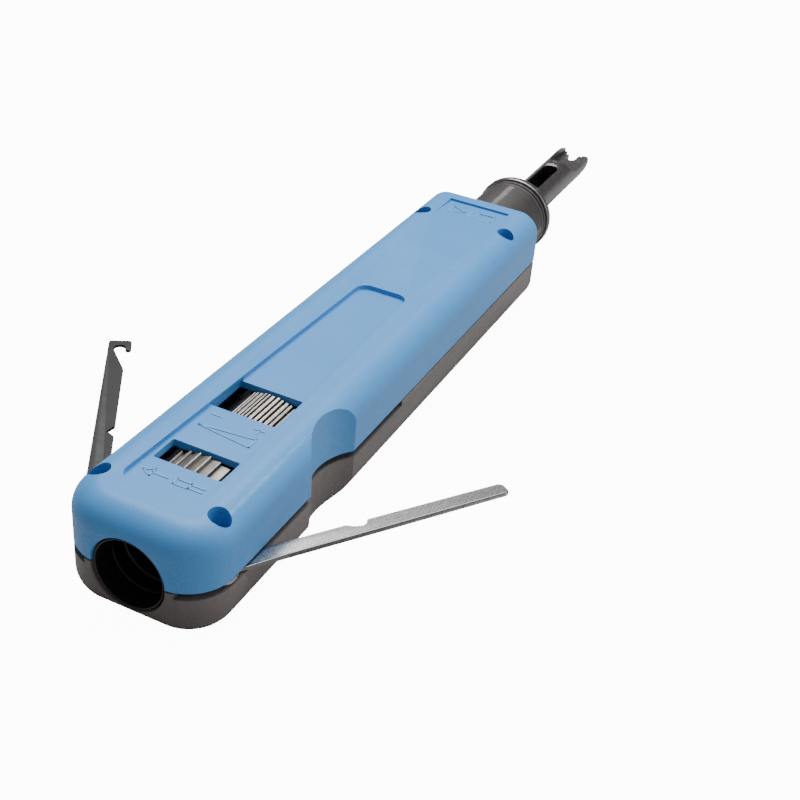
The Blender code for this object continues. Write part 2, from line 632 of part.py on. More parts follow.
def build_hook_tool(mat):
    """Hook for pulling wires; points are (towards the handle, ahead of the pivot)."""
    outline = eye_outline(-0.1, 2.9) + [(-3.9, 4.0)]
    outline += rounded_end((-3.7, HOOK_LENGTH), 0.6, 180.0)
    outline += rounded_end((0.95, HOOK_LENGTH), 0.6, 90.0)
    outline += arc((0.35, 55.6), 0.6, 0.0, -180.0, 5)
    outline += arc((-1.3, 55.8), 1.05, 0.0, 150.0, 6)
    outline += [(-2.45, 55.3), (-0.05, 47.9), (-0.1, 28.6), (-0.4, 28.1), (-1.55, 26.5), (-0.1, 25.2)]
    build_flat_tool("hook_tool", outline, -1.0, HOOK_ANGLE, mat)


def rounded_end(corner, radius, start):
    """A right-angled outer corner, rounded clockwise from the start angle."""
    side = -1.0 if start > 90.0 else 1.0
    centre = (corner[0] - side * radius, corner[1] - radius)
    return arc(centre, radius, start, start - 90.0, 3)


def build_spudger_tool(mat):
    """Flat blade for scraping and prising, with a curved wire notch."""
    outline = eye_outline(2.6, 0.9)
    outline += arc((0.2, SPUDGER_LENGTH - 0.8), 0.8, 180.0, 100.0, 3)
    outline += arc((1.4, SPUDGER_LENGTH - 1.1), 1.05, 90.0, 0.0, 4)
    outline += [(2.6, 28.7)] + arc((2.2, 28.3), 0.4, 0.0, -90.0, 2)
    outline += arc((2.65, 26.3), 1.3, 110.0, 240.0, 5)
    build_flat_tool("spudger_tool", outline, 1.0, SPUDGER_ANGLE, mat)


def build_tool_washers(mat):
    """Thin washers between the folding tools and the upper shell's bosses."""
    profile = [(9.87, TOOL_HOLE), (9.87, 2.9), (10.07, 2.9), (10.07, TOOL_HOLE)]
    for name, side in (("hook_washer", -1.0), ("spudger_washer", 1.0)):
        spot = (side * REAR_SCREW[0], REAR_SCREW[1], 0.0)
        add_object(name, lathe(profile, 20, spot, "Z", ring=True), mat)


def build_tool():
    """The whole tool."""
    for old in list(bpy.data.objects):
        bpy.data.objects.remove(old, do_unlink=True)
    blue = make_material("blue_plastic", (0.25, 0.5, 0.73), 0.42)
    grey = make_material("grey_plastic", (0.13, 0.12, 0.12), 0.5)
    black = make_material("black_plastic", (0.02, 0.02, 0.022), 0.5)
    rib_metal = make_material("ribbed_metal", (0.35, 0.33, 0.3), 0.45, 0.8)
    dark_metal = make_material("dark_metal", (0.09, 0.09, 0.09), 0.4, 0.9)
    blade_metal = make_material("blade_metal", (0.2, 0.19, 0.2), 0.35, 0.9)
    bright_metal = make_material("bright_metal", (0.62, 0.62, 0.61), 0.3, 1.0)
    spring_metal = make_material("spring_metal", (0.45, 0.45, 0.46), 0.3, 1.0)
    bores, scoop = build_upper_shell(blue)
    build_lower_shell(grey, bores, scoop)
    build_screws(dark_metal)
    build_storage_tube(black)
    build_storage_catch(bright_metal)
    build_release_wheel(rib_metal)
    build_release_spring(spring_metal)
    build_impact_dial(rib_metal)
    build_dial_detent(spring_metal)
    build_spring_seat(dark_metal)
    build_main_spring(spring_metal)
    build_hammer(dark_metal)
    build_latch(bright_metal, spring_metal)
    build_latch_ramp(bright_metal)
    build_nose_barrel(dark_metal)
    build_barrel_parts(bright_metal, spring_metal)
    build_nose_ring(dark_metal)
    build_blade_detent(bright_metal, spring_metal)
    build_punch_blade(blade_metal)
    build_hook_tool(dark_metal)
    build_spudger_tool(bright_metal)
    build_tool_washers(bright_metal)


build_tool()
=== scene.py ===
"""Looks of the punch down tool: moulded shells, ribbed wheels, blade, hook and spudger.

Shapes are drawn in millimetres, with Y from the rear face of the handle towards the blade,
X to the right of it and Z up. settle() turns each one into metres in the frame's place.
"""
import math
import random

import bmesh
import bpy
from mathutils import Matrix, Vector


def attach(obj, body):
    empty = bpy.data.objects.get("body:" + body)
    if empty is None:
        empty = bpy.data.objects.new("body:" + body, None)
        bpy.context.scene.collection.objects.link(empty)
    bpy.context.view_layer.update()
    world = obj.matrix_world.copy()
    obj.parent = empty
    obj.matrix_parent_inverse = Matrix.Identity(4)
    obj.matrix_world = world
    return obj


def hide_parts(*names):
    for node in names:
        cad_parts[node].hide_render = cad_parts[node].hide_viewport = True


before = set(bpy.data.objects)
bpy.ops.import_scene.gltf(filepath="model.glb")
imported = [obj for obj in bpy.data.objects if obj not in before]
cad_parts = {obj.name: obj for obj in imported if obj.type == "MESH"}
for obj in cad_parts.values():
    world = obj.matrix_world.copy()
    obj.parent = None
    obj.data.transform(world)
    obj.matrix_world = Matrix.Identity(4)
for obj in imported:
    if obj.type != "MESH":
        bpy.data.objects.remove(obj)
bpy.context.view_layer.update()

MM = 0.001
BODY_LENGTH = 139.5
REAR_WIDTH = 29.5
FRONT_WIDTH = 27.5
BODY_HEIGHT = 21.4
AXIS_Z = 10.0
SEAM = 0.15                 # half of the gap between the shells
WALL = 2.0
EDGE_ROUND, CORNER_ROUND = 5.0, 8.5
BOSS_RADIUS, POST_RADIUS, PILOT_RADIUS = 3.0, 1.9, 0.95
PANEL_FLOOR = 20.4
REAR_SCREW = (11.5, 9.0)
FRONT_SCREW = (10.3, 126.9)
SCOOP_Y, SCOOP_RADIUS, SCOOP_DEPTH, SCOOP_WALL = 41.35, 12.0, 3.1, 1.5
SLOT_INNER, SLOT_FLOOR, SLOT_FRONT = 8.5, 8.8, 69.3
DIAL_WINDOW = (-7.1, 5.9, 35.2, 44.6)
RELEASE_WINDOW = (-6.8, 6.4, 17.2, 23.1)
DIAL_REAR, DIAL_FRONT = 35.5, 44.0
WHEEL_REAR, WHEEL_FRONT = 17.5, 22.5
HUB_RADIUS = 6.6            # of the holes that the wheel and the dial turn on
TOOL_BOTTOM, TOOL_TOP = 9.1, 9.8
TOOL_EYE, TOOL_HOLE = 3.1, 2.1
HOOK_ANGLE, SPUDGER_ANGLE = 32.0, 35.0
HOOK_LENGTH, SPUDGER_LENGTH = 58.6, 55.1
FLOOR_GLOW = 12.0           # how brightly the floor shows to the camera alone


# Shape helpers

def close_ends(bm):
    """Cap every open loop and point all faces outwards."""
    open_edges = [edge for edge in bm.edges if edge.is_boundary]
    if open_edges:
        bmesh.ops.holes_fill(bm, edges=open_edges, sides=0)
    bmesh.ops.recalc_face_normals(bm, faces=bm.faces)
    return bm


def prism(outline, low, high, axis="Z"):
    """Extrude an outline: (x, y) points along Z, (x, z) along Y, or (y, z) along X."""
    place = {
        "Z": lambda u, v, w: (u, v, w),
        "Y": lambda u, v, w: (u, w, v),
        "X": lambda u, v, w: (w, u, v),
    }[axis]
    bm = bmesh.new()
    face = bm.faces.new([bm.verts.new(place(u, v, low)) for u, v in outline])
    grown = bmesh.ops.extrude_face_region(bm, geom=[face])
    moved = [item for item in grown["geom"] if isinstance(item, bmesh.types.BMVert)]
    bmesh.ops.translate(bm, verts=moved, vec=place(0.0, 0.0, high - low))
    return close_ends(bm)


def box(x_low, x_high, y_low, y_high, z_low, z_high):
    """A plain block, used as a cutter or as the start of a shape."""
    outline = [(x_low, y_low), (x_high, y_low), (x_high, y_high), (x_low, y_high)]
    return prism(outline, z_low, z_high)


def placed(bm, centre, axis):
    """Turn a shape made along Y to lie along axis, and move it to centre."""
    turns = {
        "Y": Matrix.Identity(4),
        "Z": Matrix.Rotation(math.pi / 2.0, 4, "X"),
        "X": Matrix.Rotation(-math.pi / 2.0, 4, "Z"),
    }
    bmesh.ops.transform(bm, verts=bm.verts, matrix=Matrix.Translation(centre) @ turns[axis])
    return bm


def lathe(profile, steps=64, centre=(0.0, 0.0, AXIS_Z), axis="Y", ring=False):
    """Turn (along, radius) points about a line through centre, as a solid or as a ring."""
    bm = bmesh.new()
    verts = [bm.verts.new((radius, along, 0.0)) for along, radius in profile]
    edges = [bm.edges.new(pair) for pair in zip(verts, verts[1:])]
    if ring:
        edges.append(bm.edges.new((verts[-1], verts[0])))
    bmesh.ops.spin(bm, geom=verts + edges, cent=(0.0, 0.0, 0.0), axis=(0.0, 1.0, 0.0),
                   angle=math.tau, steps=steps, use_merge=True)
    bmesh.ops.remove_doubles(bm, verts=bm.verts, dist=1e-4)
    return placed(close_ends(bm), centre, axis)


def upright(profile, spot, steps=40):
    """Turn (height, radius) points about an upright line at (x, y)."""
    return lathe(profile, steps, (spot[0], spot[1], 0.0), "Z")


def rod(low, high, radius, spot, steps=32):
    """A plain upright rod at (x, y)."""
    return upright([(low, 0.0), (low, radius), (high, radius), (high, 0.0)], spot, steps)


def hub_hole(low, high):
    """The hole along the axis that a wheel turns on."""
    return lathe([(low, 0.0), (low, HUB_RADIUS), (high, HUB_RADIUS), (high, 0.0)], 96)


def arc(centre, radius, start, end, steps):
    """Points on an arc, with angles in degrees."""
    points = []
    for step in range(steps + 1):
        angle = math.radians(start + (end - start) * step / steps)
        points.append((centre[0] + radius * math.cos(angle), centre[1] + radius * math.sin(angle)))
    return points


def rounded(corners, radius, steps=6):
    """Round every corner of a convex outline that runs anticlockwise."""
    points = []
    for index, corner in enumerate(corners):
        here = Vector(corner)
        back = (Vector(corners[index - 1]) - here).normalized()
        ahead = (Vector(corners[(index + 1) % len(corners)]) - here).normalized()
        half = back.angle(ahead) / 2.0
        centre = here + (back + ahead).normalized() * radius / math.sin(half)
        reach = radius / math.tan(half)
        first = here + back * reach - centre
        sweep = first.angle_signed(here + ahead * reach - centre)
        for step in range(steps + 1):
            points.append(tuple(centre + Matrix.Rotation(-sweep * step / steps, 2) @ first))
    return points


def grown(corners, amount):
    """Move the sides of a four-cornered outline outwards."""
    (x0, y0), (x1, y1), (x2, y2), (x3, y3) = corners
    return [(x0 - amount, y0 - amount), (x1 + amount, y1 - amount),
            (x2 + amount, y2 + amount), (x3 - amount, y3 + amount)]


def rectangle(x_low, x_high, y_low, y_high):
    """Corners of a rectangle, anticlockwise."""
    return [(x_low, y_low), (x_high, y_low), (x_high, y_high), (x_low, y_high)]


def sunk_form(corners, radius, floor, top, foot, lip, reach=1.2):
    """A tray-shaped cutter: a small radius round its floor and an eased lip at its rim."""
    levels = [(floor, -foot), (floor + 0.3 * foot, -0.3 * foot), (floor + foot, 0.0)]
    levels += [(top - lip, 0.0), (top - 0.3 * lip, 0.3 * lip), (top, lip), (top + reach, lip + reach)]
    bm = bmesh.new()
    loops = []
    for height, offset in levels:
        points = rounded(grown(corners, offset), radius + offset)
        verts = [bm.verts.new((x, y, height)) for x, y in points]
        loops.append([bm.edges.new((verts[i - 1], verts[i])) for i in range(len(verts))])
    for lower, upper in zip(loops, loops[1:]):
        bmesh.ops.bridge_loops(bm, edges=lower + upper)
    return close_ends(bm)


def mirrored_pair(spot):
    """The same place on the right and on the left."""
    return [(spot[0], spot[1]), (-spot[0], spot[1])]


SCREW_SPOTS = mirrored_pair(REAR_SCREW) + mirrored_pair(FRONT_SCREW)


def combined(*shapes):
    """One bmesh that holds several separate shapes."""
    bm = bmesh.new()
    for shape in shapes:
        mesh = bpy.data.meshes.new("part_of_shape")
        shape.to_mesh(mesh)
        shape.free()
        bm.from_mesh(mesh)
        bpy.data.meshes.remove(mesh)
    return bm


def scratch(bm):
    """A temporary object for a modifier to work on."""
    mesh = bpy.data.meshes.new("scratch")
    bm.to_mesh(mesh)
    bm.free()
    obj = bpy.data.objects.new("scratch", mesh)
    bpy.context.scene.collection.objects.link(obj)
    return obj


def harvested(obj, *helpers):
    """The modified shape of a temporary object, which is then removed with its helpers."""
    shape = obj.evaluated_get(bpy.context.evaluated_depsgraph_get())
    bm = bmesh.new()
    bm.from_mesh(shape.to_mesh())
    shape.to_mesh_clear()
    for item in (obj, *helpers):
        mesh = item.data
        bpy.data.objects.remove(item)
        bpy.data.meshes.remove(mesh)
    return bm


def carved(shape, *tools, operation="DIFFERENCE"):
    """Cut, join or intersect a shape with others, one after another."""
    base = scratch(shape)
    helpers = [scratch(tool) for tool in tools]
    for helper in helpers:
        modifier = base.modifiers.new("carve", "BOOLEAN")
        modifier.operation = operation
        modifier.solver = "EXACT"
        modifier.object = helper
    return harvested(base, *helpers)


def joined(shape, *others):
    """Weld shapes into one."""
    return carved(shape, *others, operation="UNION")


def eased(shape, width, segments=2, angle=35.0):
    """Take the sharpness off a shape's edges."""
    base = scratch(shape)
    modifier = base.modifiers.new("ease", "BEVEL")
    modifier.width = width
    modifier.segments = segments
    modifier.limit_method = "ANGLE"
    modifier.angle_limit = math.radians(angle)
    modifier.use_clamp_overlap = False
    return harvested(base)


def edges_where(bm, test):
    """Edges whose two ends both pass a test."""
    return [edge for edge in bm.edges if all(test(vert.co) for vert in edge.verts)]


def round_edges(bm, edges, radius, steps):
    """Bevel some edges to a radius."""
    bmesh.ops.bevel(bm, geom=edges, offset=radius, offset_type="OFFSET", segments=steps,
                    profile=0.5, affect="EDGES", clamp_overlap=True, material=-1)


def settle(name, bm, mat, body, nodes, sharp=32.0):
    """Put a finished shape in the frame, riding on its body and standing for its CAD nodes."""
    bmesh.ops.translate(bm, verts=bm.verts, vec=(0.0, -BODY_LENGTH / 2.0, 0.0))
    bmesh.ops.scale(bm, verts=bm.verts, vec=(MM, MM, MM))
    bmesh.ops.dissolve_degenerate(bm, edges=bm.edges, dist=1e-7)
    mesh = bpy.data.meshes.new(name)
    bm.to_mesh(mesh)
    bm.free()
    mesh.shade_smooth()
    mesh.set_sharp_from_angle(angle=math.radians(sharp))
    mesh.materials.append(mat)
    obj = bpy.data.objects.new(name, mesh)
    bpy.context.scene.collection.objects.link(obj)
    normals = obj.modifiers.new("even_normals", "WEIGHTED_NORMAL")
    normals.keep_sharp = True
    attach(obj, body)
    if nodes:
        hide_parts(*nodes)
    return obj


# Material helpers

def new_group(name, inputs, outputs):
    """A shader node group with float inputs and the given outputs."""
    group = bpy.data.node_groups.new(name, "ShaderNodeTree")
    for label, value in inputs:
        socket = group.interface.new_socket(label, in_out="INPUT", socket_type="NodeSocketFloat")
        socket.default_value = value
    for label in outputs:
        group.interface.new_socket(label, in_out="OUTPUT", socket_type="NodeSocketFloat")
    return group, group.nodes.new("NodeGroupInput"), group.nodes.new("NodeGroupOutput")


def math_node(tree, operation, first, second=None, clamp=False):
    """A Math node with sockets or numbers as its inputs."""
    node = tree.nodes.new("ShaderNodeMath")
    node.operation = operation
    node.use_clamp = clamp
    for socket, value in zip(node.inputs, (first, second)):
        if isinstance(value, bpy.types.NodeSocket):
            tree.links.new(value, socket)
        elif value is not None:
            socket.default_value = value
    return node.outputs[0]


def noise_node(tree, scale, detail=3.0, vector=None):
    """Noise over the object's own coordinates, in features per metre."""
    noise = tree.nodes.new("ShaderNodeTexNoise")
    noise.inputs["Detail"].default_value = detail
    if isinstance(scale, bpy.types.NodeSocket):
        tree.links.new(scale, noise.inputs["Scale"])
    else:
        noise.inputs["Scale"].default_value = scale
    if vector is None:
        vector = tree.nodes.new("ShaderNodeTexCoord").outputs["Object"]
    tree.links.new(vector, noise.inputs["Vector"])
    return noise.outputs["Fac"]


def stretched(tree, scale):
    """Object coordinates squeezed differently along each axis."""
    coords = tree.nodes.new("ShaderNodeTexCoord")
    mapping = tree.nodes.new("ShaderNodeMapping")
    mapping.inputs["Scale"].default_value = scale
    tree.links.new(coords.outputs["Object"], mapping.inputs["Vector"])
    return mapping.outputs["Vector"]


def make_grain_group():
    """Moulded texture: fine grain for height and a broad, faint mottle for tone."""
    group, source, sink = new_group("moulded_grain", [("Fine", 4000.0), ("Broad", 60.0)],
                                    ["Height", "Mottle"])
    group.links.new(noise_node(group, source.outputs["Fine"], 4.0), sink.inputs["Height"])
    broad = noise_node(group, source.outputs["Broad"], 5.0)
    centred = math_node(group, "SUBTRACT", broad, 0.35)
    group.links.new(math_node(group, "MULTIPLY", centred, 2.6, clamp=True), sink.inputs["Mottle"])
    return group


def make_wear_group():
    """Rubbed edges: the convex edges, broken up by noise."""
    group, source, sink = new_group("rubbed_edges", [("Reach", 0.52), ("Sharpness", 14.0)], ["Mask"])
    geometry = group.nodes.new("ShaderNodeNewGeometry")
    lifted = math_node(group, "SUBTRACT", geometry.outputs["Pointiness"], source.outputs["Reach"])
    edge = math_node(group, "MULTIPLY", lifted, source.outputs["Sharpness"], clamp=True)
    patches = math_node(group, "MULTIPLY", noise_node(group, 700.0, 6.0), 1.5, clamp=True)
    group.links.new(math_node(group, "MULTIPLY", edge, patches), sink.inputs["Mask"])
    return group


def make_dust_group():
    """Light dust that settles on what faces up, in soft patches."""
    group, source, sink = new_group("settled_dust", [("Amount", 0.15)], ["Mask"])
    geometry = group.nodes.new("ShaderNodeNewGeometry")
    split = group.nodes.new("ShaderNodeSeparateXYZ")
    group.links.new(geometry.outputs["Normal"], split.inputs["Vector"])
    up = math_node(group, "MAXIMUM", split.outputs["Z"], 0.0)
    patches = math_node(group, "SUBTRACT", noise_node(group, 180.0, 8.0), 0.42)
    soft = math_node(group, "MULTIPLY", patches, 3.0, clamp=True)
    dusty = math_node(group, "MULTIPLY", up, soft)
    group.links.new(math_node(group, "MULTIPLY", dusty, source.outputs["Amount"]), sink.inputs["Mask"])
    return group


GRAIN = make_grain_group()
WEAR = make_wear_group()
DUST = make_dust_group()


def use_group(tree, group, **values):
    """Place a node group with its own input values."""
    node = tree.nodes.new("ShaderNodeGroup")
    node.node_tree = group
    for label, value in values.items():
        node.inputs[label].default_value = value
    return node.outputs


def mixed(tree, factor, first, second):
    """Blend two colours, each a tuple or a socket, by a factor socket."""
    node = tree.nodes.new("ShaderNodeMix")
    node.data_type = "RGBA"
    tree.links.new(factor, node.inputs[0])
    for socket, value in ((node.inputs[6], first), (node.inputs[7], second)):
        if isinstance(value, bpy.types.NodeSocket):
            tree.links.new(value, socket)
        else:
            socket.default_value = (*value, 1.0)
    return node.outputs[2]


def ranged(tree, value, low, high):
    """Map a 0 to 1 value to low to high."""
    node = tree.nodes.new("ShaderNodeMapRange")
    tree.links.new(value, node.inputs["Value"])
    node.inputs["To Min"].default_value = low
    node.inputs["To Max"].default_value = high
    return node.outputs["Result"]


def bumped(tree, height, depth, strength=1.0):
    """A Bump node whose depth is in metres."""
    node = tree.nodes.new("ShaderNodeBump")
    node.inputs["Strength"].default_value = strength
    node.inputs["Distance"].default_value = depth
    tree.links.new(height, node.inputs["Height"])
    return node.outputs["Normal"]


def new_material(name, metallic, **fixed):
    """An empty Principled material; fixed values go straight on its sockets."""
    mat = bpy.data.materials.new(name)
    mat.use_nodes = True
    shader = mat.node_tree.nodes["Principled BSDF"]
    shader.inputs["Metallic"].default_value = metallic
    for label, value in fixed.items():
        shader.inputs[label.replace("_", " ")].default_value = value
    return mat, mat.node_tree, shader


def moulded(name, base, deep, worn, rough, depth, dust):
    """Moulded plastic with fine grain, faint mottling, rubbed edges and a little dust."""
    mat, tree, shader = new_material(name, 0.0, IOR=1.4)
    grain = use_group(tree, GRAIN, Fine=2600.0, Broad=45.0)
    colour = mixed(tree, grain["Mottle"], deep, base)
    rubbed = use_group(tree, WEAR, Reach=0.53, Sharpness=9.0)["Mask"]
    colour = mixed(tree, rubbed, colour, worn)
    dusty = use_group(tree, DUST, Amount=dust)["Mask"]
    colour = mixed(tree, dusty, colour, (0.8, 0.8, 0.78))
    tree.links.new(colour, shader.inputs["Base Color"])
    roughness = ranged(tree, grain["Mottle"], rough - 0.05, rough + 0.05)
    tree.links.new(roughness, shader.inputs["Roughness"])
    tree.links.new(bumped(tree, grain["Height"], depth), shader.inputs["Normal"])
    return mat


def ground_metal(name, base, deep, bright, rough, stretch, depth, wear=0.53, metallic=1.0):
    """Metal with fine grinding marks along one direction and brighter rubbed edges."""
    mat, tree, shader = new_material(name, metallic)
    marks = noise_node(tree, 1.0, 6.0, stretched(tree, stretch))
    broad = noise_node(tree, 120.0, 4.0)
    tone = math_node(tree, "MULTIPLY", math_node(tree, "ADD", marks, broad), 0.5)
    tone = ranged(tree, tone, -0.6, 1.6)
    tone = math_node(tree, "MAXIMUM", math_node(tree, "MINIMUM", tone, 1.0), 0.0)
    colour = mixed(tree, tone, deep, base)
    rubbed = use_group(tree, WEAR, Reach=wear, Sharpness=14.0)["Mask"]
    tree.links.new(mixed(tree, rubbed, colour, bright), shader.inputs["Base Color"])
    tree.links.new(ranged(tree, marks, rough - 0.1, rough + 0.12), shader.inputs["Roughness"])
    tree.links.new(bumped(tree, marks, depth), shader.inputs["Normal"])
    return mat


BLUE = moulded("satin_blue_plastic", (0.066, 0.285, 0.65), (0.06, 0.271, 0.63), (0.16, 0.43, 0.78),
               0.42, 0.00003, 0.01)
GREY = moulded("satin_grey_plastic", (0.13, 0.113, 0.107), (0.118, 0.102, 0.097), (0.24, 0.215, 0.205),
               0.46, 0.00003, 0.02)
BLACK = moulded("black_plastic", (0.014, 0.014, 0.016), (0.01, 0.01, 0.012), (0.05, 0.05, 0.055),
                0.4, 0.00002, 0.0)
RIBBED = ground_metal("ribbed_wheel_metal", (0.19, 0.172, 0.155), (0.08, 0.073, 0.066), (0.6, 0.56, 0.52),
                      0.42, (6000.0, 300.0, 6000.0), 0.00001, metallic=0.75)
DRUM = ground_metal("dark_drum", (0.06, 0.06, 0.062), (0.03, 0.03, 0.032), (0.16, 0.16, 0.16),
                    0.42, (4000.0, 300.0, 4000.0), 0.00001)
COLLAR = ground_metal("black_oxide_collar", (0.1, 0.098, 0.095), (0.065, 0.064, 0.063),
                      (0.24, 0.23, 0.22), 0.55, (300.0, 5000.0, 300.0), 0.000004)
GUNMETAL = ground_metal("hardened_blade", (0.21, 0.195, 0.2), (0.10, 0.093, 0.097), (0.42, 0.4, 0.4),
                        0.34, (2500.0, 500.0, 2500.0), 0.000012)
DARK_STEEL = ground_metal("dark_hook_steel", (0.052, 0.052, 0.052), (0.038, 0.038, 0.038),
                          (0.14, 0.14, 0.14), 0.58, (500.0, 3500.0, 500.0), 0.000006)
BRIGHT_STEEL = ground_metal("brushed_spudger_steel", (0.26, 0.26, 0.26), (0.2, 0.2, 0.2),
                            (0.9, 0.9, 0.9), 0.26, (5200.0, 500.0, 500.0), 0.000006)
SPRING_WIRE = ground_metal("drawn_wire", (0.5, 0.5, 0.51), (0.34, 0.34, 0.35), (0.8, 0.8, 0.8),
                           0.26, (900.0, 900.0, 900.0), 0.000004)
TURNED_STEEL = ground_metal("turned_steel", (0.48, 0.47, 0.46), (0.34, 0.33, 0.32), (0.8, 0.8, 0.8),
                            0.3, (300.0, 6000.0, 300.0), 0.000005)


# Handle shells

def half_width(y):
    """Half of the handle's width, which narrows towards the nose."""
    return (REAR_WIDTH + (FRONT_WIDTH - REAR_WIDTH) * y / BODY_LENGTH) / 2.0


def half_handle(split, face, inset, rear, front, corner, edge, steps):
    """One half of the handle's form, flat at split and rounded around face."""
    wide, narrow = half_width(rear) - inset, half_width(front) - inset
    outline = [(-wide, rear), (wide, rear), (narrow, front), (-narrow, front)]
    bm = prism(outline, min(split, face), max(split, face))
    uprights = [item for item in edges_where(bm, lambda co: abs(co.y - rear) < 0.01)
                if abs(item.verts[0].co.z - item.verts[1].co.z) > 1.0]
    round_edges(bm, uprights, corner, steps + 4)
    rim = [item for item in edges_where(bm, lambda co: abs(co.z - face) < 0.01)
           if not all(abs(vert.co.y - front) < 0.01 for vert in item.verts)]
    round_edges(bm, rim, edge, steps)
    return bm


def outer_half(split, face):
    """The outside of one shell, with its front edge and its seam eased."""
    bm = half_handle(split, face, 0.0, 0.0, BODY_LENGTH, CORNER_ROUND, EDGE_ROUND, 12)
    front = [edge for edge in edges_where(bm, lambda co: abs(co.y - BODY_LENGTH) < 0.01)
             if not all(abs(vert.co.z - split) < 0.01 for vert in edge.verts)]
    round_edges(bm, front, 0.8, 4)
    seam = [edge for edge in edges_where(bm, lambda co: abs(co.z - split) < 0.001)
            if edge.calc_face_angle(0.0) > 0.5]
    round_edges(bm, seam, 0.18, 2)
    return bm


def scoop_form(radius, low, high):
    """Upright cylinder at the right side, for a finger."""
    spot = (half_width(SCOOP_Y) + SCOOP_RADIUS - SCOOP_DEPTH, SCOOP_Y)
    return rod(low, high, radius, spot, 128)


def bore_forms():
    """Rear bore, barrel bore and nose bore, with eased mouths."""
    rear = lathe([(-2.0, 0.0), (-2.0, 9.3), (0.0, 7.3), (0.12, 7.1), (0.35, 7.0), (3.0, 7.0), (3.0, 0.0)])
    nose = lathe([(110.5, 0.0), (110.5, 7.45), (128.9, 7.45), (128.9, 9.15), (139.1, 9.15),
                  (139.4, 9.25), (139.5, 9.4), (141.5, 11.4), (141.5, 0.0)])
    return combined(rear, nose)


def guide_block(low, high):
    """The rib across a shell that carries the barrel."""
    return box(-16.0, 16.0, 111.5, 116.0, low, high)


def cavity(split, face, *standing):
    """The hollow of a shell, around the shapes that stay standing in it."""
    return carved(half_handle(split, face, WALL, 2.2, 124.0, 6.5, 1.2, 3), *standing)


def screw_hole(spot):
    """A stepped screw hole with a softly rounded rim."""
    top = BODY_HEIGHT
    drop = max(0.0, abs(spot[0]) - half_width(spot[1]) + EDGE_ROUND)
    rim = top - (EDGE_ROUND - math.sqrt(EDGE_ROUND * EDGE_ROUND - drop * drop))
    profile = [(9.0, 0.0), (9.0, 1.0), (14.0, 1.0), (14.0, 1.9), (rim - 0.25, 1.9),
               (rim, 1.95), (top + 2.0, 1.95), (top + 2.0, 0.0)]
    return upright(profile, spot, 48)


def make_upper_shell():
    """Blue top half, with the sunk panel, windows, screw holes and scoop."""
    split = AXIS_Z + SEAM
    bosses = [rod(8.0, 22.0, BOSS_RADIUS, spot) for spot in mirrored_pair(REAR_SCREW)]
    inside = cavity(AXIS_Z - 1.0, 19.0, combined(*bosses, guide_block(8.0, 22.0)),
                    scoop_form(SCOOP_RADIUS + SCOOP_WALL, 8.0, 22.0))
    panel = sunk_form([(-7.9, 8.9), (7.9, 8.9), (5.3, 88.0), (-5.3, 88.0)], 2.4, PANEL_FLOOR,
                      BODY_HEIGHT, 0.25, 0.22)
    label = prism([(136.0, 23.0), (136.0, 20.9), (125.7, 21.42), (125.7, 23.0)], -7.3, 7.3, "X")
    windows = [sunk_form(rectangle(*window), 0.35, 16.0, PANEL_FLOOR, 0.0, 0.12, 0.5)
               for window in (DIAL_WINDOW, RELEASE_WINDOW)]
    holes = [screw_hole(spot) for spot in SCREW_SPOTS]
    shell = carved(outer_half(split, BODY_HEIGHT), inside, bore_forms(),
                   scoop_form(SCOOP_RADIUS, -1.0, 23.0), combined(panel, label),
                   combined(*windows, *holes))
    settle("upper_shell_moulding", shell, BLUE, "handle", ["upper_shell"])


def make_lower_shell():
    """Grey bottom half, with the tool slots and the posts that the tools turn on."""
    bosses = [rod(0.5, 12.0, BOSS_RADIUS, spot) for spot in mirrored_pair(REAR_SCREW)]
    inside = cavity(AXIS_Z + 1.0, 1.6, combined(*bosses, guide_block(0.5, 12.0)),
                    scoop_form(SCOOP_RADIUS + SCOOP_WALL, 0.5, 12.0))
    posts = [rod(7.0, 10.0, POST_RADIUS, spot) for spot in mirrored_pair(REAR_SCREW)]
    slots = [box(SLOT_INNER, 18.0, -2.0, SLOT_FRONT, SLOT_FLOOR, 11.0),
             box(-18.0, -SLOT_INNER, -2.0, SLOT_FRONT, SLOT_FLOOR, 11.0)]
    pilots = [rod(3.0, 12.5, PILOT_RADIUS, spot, 24) for spot in SCREW_SPOTS]
    shell = carved(outer_half(AXIS_Z - SEAM, 0.0), inside, bore_forms(),
                   scoop_form(SCOOP_RADIUS, -1.0, 23.0), combined(*slots))
    shell = carved(joined(shell, combined(*posts)), combined(*pilots))
    settle("lower_shell_moulding", shell, GREY, "handle", ["lower_shell"])


# Moulded marks

def stroke(points, width=0.28, low=PANEL_FLOOR - 0.1, high=PANEL_FLOOR + 0.13):
    """A raised line through points, with round ends and joints."""
    shapes = []
    for start, end in zip(points, points[1:]):
        along = Vector(end) - Vector(start)
        heading = math.degrees(math.atan2(along.y, along.x))
        outline = arc(start, width / 2.0, heading + 90.0, heading + 270.0, 6)
        outline += arc(end, width / 2.0, heading - 90.0, heading + 90.0, 6)
        shapes.append(prism(outline, low, high))
    return shapes


def closed_stroke(points, **sizes):
    """A raised line round a closed outline."""
    return stroke(points + points[:1], **sizes)


